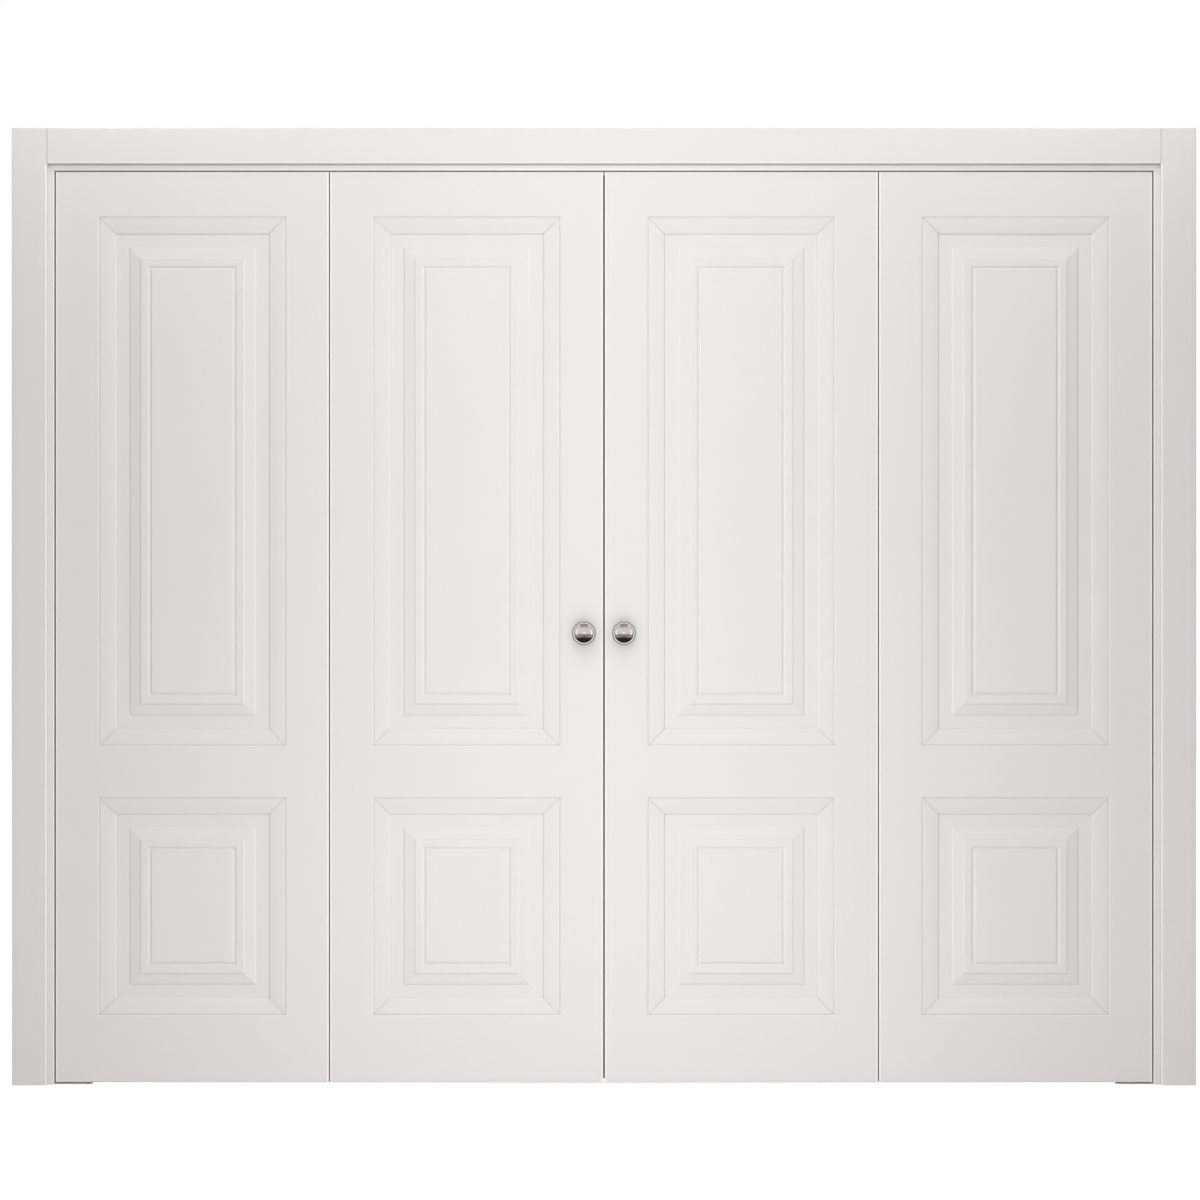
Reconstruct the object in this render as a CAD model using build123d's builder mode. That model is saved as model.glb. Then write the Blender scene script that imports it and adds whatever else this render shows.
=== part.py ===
from build123d import *
import os

os.makedirs("parts", exist_ok=True)

# Double bi-fold door in its frame: four raised-panel leaves in two folding pairs.
# X runs along the wall, +Y into the wall, +Z up.  The origin is on the floor, at the
# middle of the doorway in X and at the middle of the whole depth in Y.

# Doorway and leaves
OPENING_W = 2440.0
OPENING_H = 2028.5
LEAF_T = 35.0
LEAF_H = 2021.0
LEAF_BOTTOM = 5.0
LEAF_FRONT = -42.0
JAMB_GAP = 3.0
PAIR_GAP = 2.25
MEETING_GAP = 3.5
ARRIS = 1.5

# Leaf framing
TOP_RAIL = 101.0
LOCK_RAIL = 117.0
BOTTOM_RAIL = 150.0
LOWER_PANEL_H = 481.0
PANEL_W = 413.0
TONGUE_T = 8.0
TONGUE_L = 8.0
GROOVE_L = 8.5
EDGE_VEE = 2.0

# Profile of mouldings and raised panels: widths inward from the framing, depths below the face
FLAT_DEPTH = 9.0
FIELD_DEPTH = 0.3
MOULDING_W = 37.0
MOULDING_START = (2.0, 0.3)
MOULDING_CROWN = (19.0, 2.1)
MOULDING_END = (35.4, 6.2)
MITRE_KERF = 0.3
RAISE_START = 66.0
RAISE_FOOT = (68.0, 7.3)
RAISE_TOP = (91.0, 1.9)
RAISE_END = 93.0
BEAD_CENTRE = 112.6
BEAD_HALF_W = 4.6
BEAD_FLAT = 0.8
BEAD_DEPTH = 2.4

# Frame
JAMB_T = 40.0
JAMB_D = 116.0
JAMB_FRONT = -44.0
EXPOSED_EDGE = 14.0
EXPOSED_FALL = 1.2
CASING_W = 78.0
CASING_T = 12.0
CASING_ROUND = 2.0
CASING_ARRIS = 0.8
CASING_MARGIN = 9.0
CASING_FALL = 0.4
RELIEF_W = 44.0
RELIEF_D = 2.0

# Track and the fittings that run in it
TRACK_W = 22.0
TRACK_H = 22.0
TRACK_WALL = 1.5
TRACK_LIP = 4.0
TRACK_L = 2438.0
TRACK_FIT = 0.2
PIVOT_INSET = 50.0
SHANK_R = 5.0
SHANK_L = 45.0
PIN_R = 4.0
PIN_FIT = 0.05
COLLAR_R = 7.5
COLLAR_T = 1.0
BRACKET_LIFT = 0.2
WHEEL_R = 9.2
WHEEL_H = 9.0
WHEEL_LIFT = 1.2
GUIDE_PIN_R = 3.0
GUIDE_HEAD_R = 4.5
GUIDE_HEAD_T = 1.5
BLOCK_L = 48.0
BLOCK_W = 18.6
BLOCK_H = 14.0
BLOCK_LIFT = 0.4
BLOCK_SCREW_R = 4.0
BLOCK_CORNER = 4.0

# Floor brackets
PLATE_T = 2.0
PLATE_L = 84.0
PLATE_W = 28.0
UPRIGHT_H = 34.0
BEND_R = 1.5
PLATE_CORNER = 4.0
FLOOR_SCREW_R = 2.25
FLOOR_SCREW_SPACING = 44.0

# Hinges on the backs of the leaves
HINGE_H = 76.0
HINGE_PLATE_W = 36.0
HINGE_PLATE_T = 2.0
HINGE_STANDOFF = 4.5
HINGE_CORNER = 4.0
KNUCKLE_R = 4.0
KNUCKLE_COUNT = 3
KNUCKLE_CUT_R = 4.4
KNUCKLE_GAP = 0.2
HINGE_PIN_R = 2.5
HINGE_ROOT = 0.6
HINGE_HEIGHTS = (285.0, 1015.0, 1840.0)

# Knobs and aligners on the pull leaves
KNOB_X = 44.4
KNOB_Z = 1002.0
KNOB_ROSE_R = 15.0
KNOB_ROSE_T = 3.0
KNOB_NECK_R = 8.0
KNOB_R = 26.0
KNOB_BACK = 18.6
KNOB_RIM = 26.2
KNOB_RIM_EASE = 0.8
KNOB_FACE_R = 21.0
KNOB_PROJECTION = 30.0
ALIGNER_Z = 300.0
ALIGNER_H = 52.0
ALIGNER_L = 42.0
ALIGNER_T = 1.6
ALIGNER_REACH = 11.0
ALIGNER_GAP = 1.2
ALIGNER_BEND_R = 4.0

# Worked out from the sizes above
LEAF_W = (OPENING_W - 2 * JAMB_GAP - 2 * PAIR_GAP - MEETING_GAP) / 4
LEAF_BACK = LEAF_FRONT + LEAF_T
LEAF_MID = LEAF_FRONT + LEAF_T / 2
LEAF_TOP = LEAF_BOTTOM + LEAF_H
LOWER_Z = (LEAF_BOTTOM + BOTTOM_RAIL, LEAF_BOTTOM + BOTTOM_RAIL + LOWER_PANEL_H)
UPPER_Z = (LOWER_Z[1] + LOCK_RAIL, LEAF_TOP - TOP_RAIL)
HALF_OPENING = OPENING_W / 2
PIVOT_X = HALF_OPENING - JAMB_GAP - PIVOT_INSET
GUIDE_X = MEETING_GAP / 2 + PIVOT_INSET
PULL_LEAF_X = MEETING_GAP / 2 + LEAF_W / 2
PIVOT_LEAF_X = HALF_OPENING - JAMB_GAP - LEAF_W / 2
HINGE_X = MEETING_GAP / 2 + LEAF_W + PAIR_GAP / 2
HINGE_Y = LEAF_BACK + HINGE_STANDOFF
CASING_INNER = HALF_OPENING + EXPOSED_EDGE
HEAD_CASING_Z = OPENING_H + EXPOSED_EDGE
TRACK_BOTTOM = OPENING_H + TRACK_FIT
CHANNEL_FLOOR = TRACK_BOTTOM + TRACK_WALL
TOP_REACH = CHANNEL_FLOOR + BLOCK_LIFT + BLOCK_H - LEAF_TOP
BOTTOM_REACH = LEAF_BOTTOM - BRACKET_LIFT
BOTTOM_COLLAR_T = LEAF_BOTTOM - PLATE_T
GUIDE_REACH = CHANNEL_FLOOR + WHEEL_LIFT + WHEEL_H + TRACK_FIT - LEAF_TOP
SIDES = {"left": -1, "right": 1}


def save(piece, node):
    """Label a finished piece and write it to its own file."""
    piece.part.label = node
    export_step(piece.part, f"parts/{node}.step")


def block(corner, opposite, mode=Mode.ADD):
    """A plain block between two opposite corners, in the part that is being built."""
    with Locations((Vector(*corner) + Vector(*opposite)) / 2):
        Box(*[abs(b - a) for a, b in zip(corner, opposite)], mode=mode)


def upright(y):
    """A plane parallel to the door's face: local x runs along X and local y runs up."""
    return Plane.XZ.offset(-y)


def turned(x, y, z):
    """A plane through a vertical axis: local x is the radius and local y runs up."""
    return Plane(origin=(x, y, z), x_dir=(1, 0, 0), z_dir=(0, -1, 0))


# Jambs

def mitre(side, toward_jamb):
    """The mitre plane of a top corner, with its normal toward the side jamb or the head jamb."""
    normal = (side, 0, -1) if toward_jamb else (-side, 0, 1)
    return Plane(origin=(side * HALF_OPENING, 0, OPENING_H), x_dir=(0, 1, 0), z_dir=normal)


def jamb_outline():
    """A jamb's section as distance out from the doorway and Y: its front edge falls to the doorway."""
    back = JAMB_FRONT + JAMB_D
    return [(0, JAMB_FRONT + EXPOSED_FALL), (EXPOSED_EDGE, JAMB_FRONT), (JAMB_T, JAMB_FRONT),
            (JAMB_T, back), (0, back)]


def side_jamb(name, side):
    """A side jamb, let in at its foot for the upright leg of the floor bracket."""
    face = side * HALF_OPENING
    with BuildPart() as jamb:
        with BuildSketch(Plane.XY):
            with BuildLine():
                Polyline([(face + side * out, y) for out, y in jamb_outline()], close=True)
            make_face()
        extrude(amount=OPENING_H + JAMB_T)
        split(bisect_by=mitre(side, True), keep=Keep.TOP)
        front_corner = (face, JAMB_FRONT + EXPOSED_FALL, OPENING_H / 2)
        fillet(jamb.edges().filter_by(Axis.Z).sort_by_distance(front_corner)[0], ARRIS)
        block((face, LEAF_MID - PLATE_W / 2, 0), (face + side * PLATE_T, LEAF_MID + PLATE_W / 2, UPRIGHT_H),
              Mode.SUBTRACT)
    save(jamb, f"{name}_jamb")


def head_jamb():
    """The head jamb, grooved underneath for the track."""
    with BuildPart() as jamb:
        with BuildSketch(Plane.YZ.offset(-HALF_OPENING - JAMB_T)):
            with BuildLine():
                Polyline([(y, OPENING_H + out) for out, y in jamb_outline()], close=True)
            make_face()
        extrude(amount=2 * (HALF_OPENING + JAMB_T))
        for side in SIDES.values():
            split(bisect_by=mitre(side, False), keep=Keep.TOP)
        front_corner = (0, JAMB_FRONT + EXPOSED_FALL, OPENING_H)
        fillet(jamb.edges().filter_by(Axis.X).sort_by_distance(front_corner)[0], ARRIS)
        half_groove = TRACK_W / 2 + TRACK_FIT
        block((-HALF_OPENING, LEAF_MID - half_groove, OPENING_H),
              (HALF_OPENING, LEAF_MID + half_groove, TRACK_BOTTOM + TRACK_H), Mode.SUBTRACT)
    save(jamb, "head_jamb")


# Casings

def casing_section():
    """A casing's section: a flat face that falls a little at both margins, and a relief in its back."""
    half = CASING_W / 2
    front = -CASING_T / 2
    with BuildSketch() as section:
        with BuildLine():
            Polyline((-half, -front), (-half, front + CASING_FALL), (CASING_MARGIN - half, front),
                     (half - CASING_MARGIN, front), (half, front + CASING_FALL), (half, -front), close=True)
        make_face()
        fillet(section.vertices().sort_by_distance((-half, front))[0], CASING_ROUND)
        fillet(section.vertices().sort_by_distance((half, front))[0], CASING_ARRIS)
        with Locations((0, -front)):
            Trapezoid(RELIEF_W, 2 * RELIEF_D, 60, mode=Mode.SUBTRACT)
    return section.sketch


def side_casing(name, side):
    """A side casing, full height, its rounded edge outward."""
    top = HEAD_CASING_Z + CASING_W
    plane = Plane(origin=(side * (CASING_INNER + CASING_W / 2), JAMB_FRONT - CASING_T / 2, 0))
    with BuildPart() as casing:
        with BuildSketch(plane):
            add(casing_section() if side < 0 else mirror(casing_section(), about=Plane.YZ))
        extrude(amount=top)
    save(casing, f"{name}_casing")


def head_casing():
    """The head casing, butted between the side casings, its rounded edge upward."""
    middle = (-CASING_INNER, JAMB_FRONT - CASING_T / 2, HEAD_CASING_Z + CASING_W / 2)
    plane = Plane(origin=middle, x_dir=(0, 0, -1), z_dir=(1, 0, 0))
    with BuildPart() as casing:
        with BuildSketch(plane):
            add(casing_section())
        extrude(amount=2 * CASING_INNER)
    save(casing, "head_casing")


# Track and pivot hardware

def track():
    """A C-section track, open downward, with lips turned in under the guide wheels."""
    with BuildPart() as rail:
        with BuildSketch(Plane.YZ.offset(-TRACK_L / 2)):
            with Locations((LEAF_MID, TRACK_BOTTOM + TRACK_H / 2)):
                Rectangle(TRACK_W, TRACK_H)
                Rectangle(TRACK_W - 2 * TRACK_WALL, TRACK_H - 2 * TRACK_WALL, mode=Mode.SUBTRACT)
            with Locations((LEAF_MID, TRACK_BOTTOM + TRACK_WALL / 2)):
                Rectangle(TRACK_W - 2 * TRACK_WALL - 2 * TRACK_LIP, TRACK_WALL, mode=Mode.SUBTRACT)
        extrude(amount=TRACK_L)
    save(rail, "track")


def top_pivot_block(name, side):
    """The block clamped in the end of the track, with the socket that the top pivot turns in."""
    centre = (side * PIVOT_X, LEAF_MID)
    bottom = CHANNEL_FLOOR + BLOCK_LIFT
    with BuildPart() as socket:
        with BuildSketch(Plane.XY.offset(bottom)):
            with Locations(centre):
                Rectangle(BLOCK_L + BLOCK_W, BLOCK_W)
        extrude(amount=BLOCK_H)
        chamfer(socket.edges().filter_by(Axis.Z), BLOCK_CORNER)
        with Locations((*centre, bottom + BLOCK_H)):
            Hole(PIN_R + PIN_FIT)
        with Locations((centre[0] - side * BLOCK_L / 3, centre[1], bottom + BLOCK_H)):
            Hole(BLOCK_SCREW_R)
    save(socket, f"top_pivot_block_{name}")


def pivot(node, x, edge, up, reach, collar_t, pin_r):
    """A spindle in a leaf's top or bottom edge: shank in its bore, hexagonal collar, then the pin."""
    edge_plane = Plane(origin=(x, LEAF_MID, edge), x_dir=(1, 0, 0), z_dir=(0, 0, up))
    with BuildPart() as spindle:
        with Locations(edge_plane):
            Cylinder(SHANK_R, SHANK_L, align=(Align.CENTER, Align.CENTER, Align.MAX))
            Cylinder(pin_r, reach, align=(Align.CENTER, Align.CENTER, Align.MIN))
        with BuildSketch(edge_plane):
            RegularPolygon(COLLAR_R, 6)
        extrude(amount=collar_t)
        if pin_r == GUIDE_PIN_R:
            with Locations(edge_plane.offset(reach)):
                Cylinder(GUIDE_HEAD_R, GUIDE_HEAD_T, align=(Align.CENTER, Align.CENTER, Align.MIN))
    save(spindle, node)


def floor_bracket(name, side):
    """A bent bracket: floor plate with the pivot's hole, and an upright leg let into the jamb."""
    wall = side * HALF_OPENING
    profile = [(wall + side * PLATE_T, 0), (wall + side * PLATE_T, UPRIGHT_H), (wall, UPRIGHT_H),
               (wall, PLATE_T), (wall + side * (PLATE_T - PLATE_L), PLATE_T),
               (wall + side * (PLATE_T - PLATE_L), 0)]
    with BuildPart() as bracket:
        with BuildSketch(upright(LEAF_MID + PLATE_W / 2)):
            with BuildLine():
                Polyline(profile, close=True)
            make_face()
        extrude(amount=PLATE_W)
        corners = bracket.edges().filter_by(Axis.Z).group_by(Axis.X)[0 if side > 0 else -1]
        chamfer(corners, PLATE_CORNER)
        inside = bracket.edges().filter_by(Axis.Y).sort_by_distance((wall, LEAF_MID, PLATE_T))[0]
        fillet(inside, BEND_R)
        with Locations((side * PIVOT_X, LEAF_MID, PLATE_T)):
            Hole(PIN_R + PIN_FIT)
            with GridLocations(FLOOR_SCREW_SPACING, 0, 2, 1):
                Hole(FLOOR_SCREW_R)
    save(bracket, f"floor_bracket_{name}")


# Guide wheels

def guide_wheel(name, side):
    """A nylon wheel, lying flat in the track."""
    bore = GUIDE_PIN_R + PIN_FIT
    with BuildPart() as wheel:
        with BuildSketch(turned(side * GUIDE_X, LEAF_MID, CHANNEL_FLOOR + WHEEL_LIFT)):
            with BuildLine():
                Polyline((bore, 0), (WHEEL_R, 0), (WHEEL_R, WHEEL_H), (bore, WHEEL_H), close=True)
            make_face()
        revolve(axis=Axis((side * GUIDE_X, LEAF_MID, 0), (0, 0, 1)))
    save(wheel, f"guide_wheel_{name}")


# Leaves

def leaf_blank(centre_x):
    """The leaf's whole outline with its arrises eased; the framing pieces are cut from it."""
    with BuildPart() as blank:
        block((centre_x - LEAF_W / 2, LEAF_FRONT, LEAF_BOTTOM), (centre_x + LEAF_W / 2, LEAF_BACK, LEAF_TOP))
        chamfer(blank.faces().filter_by(Axis.Y).edges(), ARRIS)
    return blank.part


def opening_vees(centre_x):
    """Cutters that ease the framing round both panel openings, on both faces."""
    above = 1.0
    with BuildPart() as cutters:
        for low, high in (LOWER_Z, UPPER_Z):
            for face, outward in ((LEAF_FRONT, -1), (LEAF_BACK, 1)):
                for depth in (-above, EDGE_VEE):
                    spread = 2 * (EDGE_VEE - depth)
                    with BuildSketch(upright(face - outward * depth)):
                        with Locations((centre_x, (low + high) / 2)):
                            Rectangle(PANEL_W + spread, high - low + spread)
                loft()
    return cutters.part


def stiles(node, centre_x, blank, vees, bores):
    """A leaf's two stiles, grooved for rails and panels and bored for its pivots or guide."""
    with BuildPart() as pair:
        add(blank)
        block((centre_x - PANEL_W / 2, LEAF_FRONT, LEAF_BOTTOM),
              (centre_x + PANEL_W / 2, LEAF_BACK, LEAF_TOP), Mode.SUBTRACT)
        add(vees, mode=Mode.SUBTRACT)
        block((centre_x - PANEL_W / 2 - GROOVE_L, LEAF_MID - TONGUE_T / 2, LEAF_BOTTOM),
              (centre_x + PANEL_W / 2 + GROOVE_L, LEAF_MID + TONGUE_T / 2, LEAF_TOP), Mode.SUBTRACT)
        for x, z, up in bores:
            with Locations(Plane(origin=(x, LEAF_MID, z), z_dir=(0, 0, up))):
                Hole(SHANK_R, depth=SHANK_L)
    save(pair, node)


def rail(node, centre_x, blank, vees, low, high):
    """A rail, with stub tenons in the stiles' grooves and grooves along its panel edges."""
    half = PANEL_W / 2
    with BuildPart() as member:
        add(blank)
        block((centre_x - half, LEAF_FRONT, low), (centre_x + half, LEAF_BACK, high), Mode.INTERSECT)
        add(vees, mode=Mode.SUBTRACT)
        block((centre_x - half - TONGUE_L, LEAF_MID - TONGUE_T / 2, low),
              (centre_x + half + TONGUE_L, LEAF_MID + TONGUE_T / 2, high))
        for edge, inward in ((low, 1), (high, -1)):
            if LEAF_BOTTOM < edge < LEAF_TOP:
                block((centre_x - half - TONGUE_L, LEAF_MID - TONGUE_T / 2, edge),
                      (centre_x + half + TONGUE_L, LEAF_MID + TONGUE_T / 2, edge + inward * GROOVE_L),
                      Mode.SUBTRACT)
    save(member, node)


def round_opening(centre_x, low, high):
    """Corners of a closed path round a panel opening, from the middle of its bottom edge."""
    left = centre_x - PANEL_W / 2
    right = centre_x + PANEL_W / 2
    return [(centre_x, low), (right, low), (right, high), (left, high), (left, low)]


def profile_plane(centre_x, low, face, outward):
    """The plane of a profile at the path's start: x inward over the panel, y out of the face."""
    return Plane(origin=(centre_x, face, low), x_dir=(0, 0, 1), z_dir=(-outward, 0, 0))


def raised_panel(node, centre_x, low, high):
    """A raised panel: one profile run round both faces leaves the sloped margin and the sunk bead."""
    half = PANEL_W / 2
    clear = 2.0
    raise_cut = [(-clear, clear), (-clear, -FLAT_DEPTH), (RAISE_START, -FLAT_DEPTH),
                 (RAISE_FOOT[0], -RAISE_FOOT[1]), (RAISE_TOP[0], -RAISE_TOP[1]),
                 (RAISE_END, -FIELD_DEPTH), (RAISE_END, clear)]
    bead_cut = [(BEAD_CENTRE - BEAD_HALF_W, clear), (BEAD_CENTRE - BEAD_HALF_W, -FIELD_DEPTH),
                (BEAD_CENTRE - BEAD_FLAT, -FIELD_DEPTH - BEAD_DEPTH),
                (BEAD_CENTRE + BEAD_FLAT, -FIELD_DEPTH - BEAD_DEPTH),
                (BEAD_CENTRE + BEAD_HALF_W, -FIELD_DEPTH), (BEAD_CENTRE + BEAD_HALF_W, clear)]
    with BuildPart() as panel:
        block((centre_x - half, LEAF_FRONT + FIELD_DEPTH, low),
              (centre_x + half, LEAF_BACK - FIELD_DEPTH, high))
        for face, outward in ((LEAF_FRONT, -1), (LEAF_BACK, 1)):
            with BuildLine(upright(face)) as path:
                Polyline(round_opening(centre_x, low, high), close=True)
            for cut in (raise_cut, bead_cut):
                with BuildSketch(profile_plane(centre_x, low, face, outward)):
                    with BuildLine():
                        Polyline(cut, close=True)
                    make_face()
                sweep(path=path.wire(), transition=Transition.RIGHT, mode=Mode.SUBTRACT)
        block((centre_x - half - TONGUE_L, LEAF_MID - TONGUE_T / 2, low - TONGUE_L),
              (centre_x + half + TONGUE_L, LEAF_MID + TONGUE_T / 2, high + TONGUE_L))
    save(panel, node)


def mouldings(node, centre_x):
    """The mitred mouldings round both panels, front and back, four strips to each frame."""
    with BuildPart() as strips:
        for low, high in (LOWER_Z, UPPER_Z):
            for face, outward in ((LEAF_FRONT, -1), (LEAF_BACK, 1)):
                with BuildLine(upright(face)) as path:
                    Polyline(round_opening(centre_x, low, high), close=True)
                with BuildSketch(profile_plane(centre_x, low, face, outward)):
                    with BuildLine():
                        Polyline((MOULDING_W, -FLAT_DEPTH), (0, -FLAT_DEPTH), (0, -EDGE_VEE),
                                 (MOULDING_START[0], -MOULDING_START[1]))
                        ThreePointArc((MOULDING_START[0], -MOULDING_START[1]),
                                      (MOULDING_CROWN[0], -MOULDING_CROWN[1]),
                                      (MOULDING_END[0], -MOULDING_END[1]))
                        Line((MOULDING_END[0], -MOULDING_END[1]), (MOULDING_W, -FLAT_DEPTH))
                    make_face()
                sweep(path=path.wire(), transition=Transition.RIGHT)
            for x in (centre_x - PANEL_W / 2, centre_x + PANEL_W / 2):
                for z in (low, high):
                    lean = 45 if (x > centre_x) == (z > low) else -45
                    with Locations(Location((x, LEAF_MID, z), (0, -lean, 0))):
                        Box(4 * MOULDING_W, LEAF_T, MITRE_KERF, mode=Mode.SUBTRACT)
    save(strips, node)


# Hinges

def knuckle_spans(height, owner):
    """Bottom and top of each knuckle that one leaf of a hinge owns: 0 has the ends, 1 the rest."""
    pitch = HINGE_H / KNUCKLE_COUNT
    start = height - HINGE_H / 2
    return [(start + i * pitch, start + (i + 1) * pitch) for i in range(owner, KNUCKLE_COUNT, 2)]


def hinge_plates(node, axis_x, toward, owner):
    """Three plates on the back of a leaf with their knuckles; the pivot leaf's carry the pins."""
    root = axis_x + toward * HINGE_ROOT
    edge = axis_x + toward * HINGE_PLATE_W
    with BuildPart() as plates:
        for height in HINGE_HEIGHTS:
            block((root, LEAF_BACK, height - HINGE_H / 2),
                  (edge, LEAF_BACK + HINGE_PLATE_T, height + HINGE_H / 2))
        outer = plates.edges().filter_by(Axis.Y).group_by(Axis.X)[-1 if toward > 0 else 0]
        chamfer(outer, HINGE_CORNER)
        for height in HINGE_HEIGHTS:
            for low, high in knuckle_spans(height, 1 - owner):
                with Locations((axis_x, HINGE_Y, (low + high) / 2)):
                    Cylinder(KNUCKLE_CUT_R, high - low, mode=Mode.SUBTRACT)
            for low, high in knuckle_spans(height, owner):
                with Locations((axis_x, HINGE_Y, (low + high) / 2)):
                    Cylinder(KNUCKLE_R, high - low - KNUCKLE_GAP)
            with Locations((axis_x, HINGE_Y, height)):
                if owner == 0:
                    Cylinder(HINGE_PIN_R, HINGE_H - KNUCKLE_GAP)
                else:
                    Cylinder(HINGE_PIN_R + PIN_FIT, HINGE_H, mode=Mode.SUBTRACT)
    save(plates, node)


# Knobs and aligners

def knob(name, side):
    """A turned knob: rose, neck, and a broad head with a flat rim round a domed face."""
    centre = (side * KNOB_X, LEAF_FRONT, KNOB_Z)
    with BuildPart() as pull:
        with BuildSketch(Plane(origin=centre, x_dir=(1, 0, 0), z_dir=(0, 0, -1))):
            with BuildLine():
                Polyline((0, KNOB_PROJECTION), (0, 0), (KNOB_ROSE_R, 0), (KNOB_ROSE_R, KNOB_ROSE_T),
                         (KNOB_NECK_R, KNOB_ROSE_T), (KNOB_NECK_R, KNOB_BACK), (KNOB_R, KNOB_BACK),
                         (KNOB_R, KNOB_RIM - KNOB_RIM_EASE), (KNOB_R - KNOB_RIM_EASE, KNOB_RIM),
                         (KNOB_FACE_R, KNOB_RIM))
                TangentArc((0, KNOB_PROJECTION), (KNOB_FACE_R, KNOB_RIM), tangent=(1, 0))
            make_face()
        revolve(axis=Axis(centre, (0, -1, 0)))
    save(pull, f"knob_{name}")


def aligner(name, side):
    """A bent plate on the back of a pull leaf; its flange meets the other one's at the middle."""
    inner = side * ALIGNER_GAP / 2
    outer = side * (ALIGNER_GAP / 2 + ALIGNER_L)
    flange_y = LEAF_BACK + ALIGNER_REACH
    profile = [(inner, LEAF_BACK + ALIGNER_T), (inner, flange_y), (inner + side * ALIGNER_T, flange_y),
               (inner + side * ALIGNER_T, LEAF_BACK + ALIGNER_T), (outer, LEAF_BACK + ALIGNER_T),
               (outer, LEAF_BACK)]
    with BuildPart() as plate:
        with BuildSketch(Plane.XY.offset(ALIGNER_Z - ALIGNER_H / 2)):
            with BuildLine():
                Polyline([(inner, LEAF_BACK)] + profile, close=True)
            make_face()
        extrude(amount=ALIGNER_H)
        bend = plate.edges().filter_by(Axis.Z).sort_by_distance((inner, LEAF_BACK, ALIGNER_Z))[0]
        fillet(bend, ALIGNER_T)
        flange = plate.edges().filter_by(Axis.X).group_by(Axis.Y)[-1]
        fillet(flange, ALIGNER_BEND_R)
    save(plate, f"aligner_{name}")


def leaf(name, centre_x, bores):
    """One leaf: stiles, rails, panels and mouldings."""
    blank = leaf_blank(centre_x)
    vees = opening_vees(centre_x)
    stiles(f"{name}_stiles", centre_x, blank, vees, bores)
    rail(f"{name}_bottom_rail", centre_x, blank, vees, LEAF_BOTTOM, LOWER_Z[0])
    rail(f"{name}_lock_rail", centre_x, blank, vees, LOWER_Z[1], UPPER_Z[0])
    rail(f"{name}_top_rail", centre_x, blank, vees, UPPER_Z[1], LEAF_TOP)
    raised_panel(f"{name}_lower_panel", centre_x, *LOWER_Z)
    raised_panel(f"{name}_upper_panel", centre_x, *UPPER_Z)
    mouldings(f"{name}_mouldings", centre_x)


head_jamb()
head_casing()
track()
for name, side in SIDES.items():
    side_jamb(name, side)
    side_casing(name, side)
    top_pivot_block(name, side)
    floor_bracket(name, side)
    leaf(f"pivot_leaf_{name}", side * PIVOT_LEAF_X,
         [(side * PIVOT_X, LEAF_TOP, 1), (side * PIVOT_X, LEAF_BOTTOM, -1)])
    leaf(f"pull_leaf_{name}", side * PULL_LEAF_X, [(side * GUIDE_X, LEAF_TOP, 1)])
    pivot(f"top_pivot_{name}", side * PIVOT_X, LEAF_TOP, 1, TOP_REACH, COLLAR_T, PIN_R)
    pivot(f"bottom_pivot_{name}", side * PIVOT_X, LEAF_BOTTOM, -1, BOTTOM_REACH, BOTTOM_COLLAR_T, PIN_R)
    pivot(f"guide_pin_{name}", side * GUIDE_X, LEAF_TOP, 1, GUIDE_REACH, COLLAR_T, GUIDE_PIN_R)
    guide_wheel(name, side)
    hinge_plates(f"pivot_leaf_hinge_plates_{name}", side * HINGE_X, side, 0)
    hinge_plates(f"pull_leaf_hinge_plates_{name}", side * HINGE_X, -side, 1)
    knob(name, side)
    aligner(name, side)
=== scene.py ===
import math

import bpy
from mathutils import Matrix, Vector


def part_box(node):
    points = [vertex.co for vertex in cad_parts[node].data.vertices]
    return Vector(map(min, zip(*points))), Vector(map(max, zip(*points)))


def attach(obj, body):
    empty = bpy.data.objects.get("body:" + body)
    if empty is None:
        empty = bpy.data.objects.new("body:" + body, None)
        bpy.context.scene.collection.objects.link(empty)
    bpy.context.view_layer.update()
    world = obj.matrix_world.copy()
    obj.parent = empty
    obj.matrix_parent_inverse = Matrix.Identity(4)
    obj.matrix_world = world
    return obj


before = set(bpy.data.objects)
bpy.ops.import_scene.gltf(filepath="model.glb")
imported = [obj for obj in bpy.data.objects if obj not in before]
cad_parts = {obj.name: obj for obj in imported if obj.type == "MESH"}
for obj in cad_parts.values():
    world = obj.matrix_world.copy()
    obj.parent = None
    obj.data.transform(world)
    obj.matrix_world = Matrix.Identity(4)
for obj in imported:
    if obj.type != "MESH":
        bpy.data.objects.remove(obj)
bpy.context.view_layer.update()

# Double bi-fold door in its frame: paint, metal finishes, screws, plain studio.

# Hardware sizes in metres, on top of the CAD nodes
HINGE_AXIS_X = 0.609375
HINGE_HEIGHTS = (0.285, 1.015, 1.840)
HINGE_SCREW_RISE = 0.027
HINGE_SCREW_IN = 0.017
HINGE_SCREW_OUT = 0.027
PLATE_BACK_Y = -0.005
LEAF_BACK_Y = -0.007
LEAF_MID_Y = -0.0245
PIVOT_X = 1.167
FLOOR_SCREW_HALF = 0.022
FLOOR_PLATE_TOP = 0.002
CLAMP_SCREW_X = 1.151
CLAMP_SCREW_Z = 2.0318
TRACK_ROOF_Z = 2.0491
TRACK_SCREW_X = (-1.05, -0.75, -0.45, -0.15, 0.15, 0.45, 0.75, 1.05)
KNOB_X = 0.0444
KNOB_Z = 1.002
KNOB_FACE_R = 0.0210
KNOB_BRIGHT_R = 0.0236
ALIGNER_PLATE_T = 0.002
ALIGNER_SCREW_IN = 0.010
ALIGNER_SCREW_RISE = 0.011
# Strips of painted shade in the centre gap between the pull leaves
GAP_SHADE_IN_X = 0.0001
GAP_SHADE_OUT_X = 0.0020
GAP_SHADE_Y = (-0.0285, -0.0205)
GAP_SHADE_Z = (0.012, 2.020)
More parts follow.
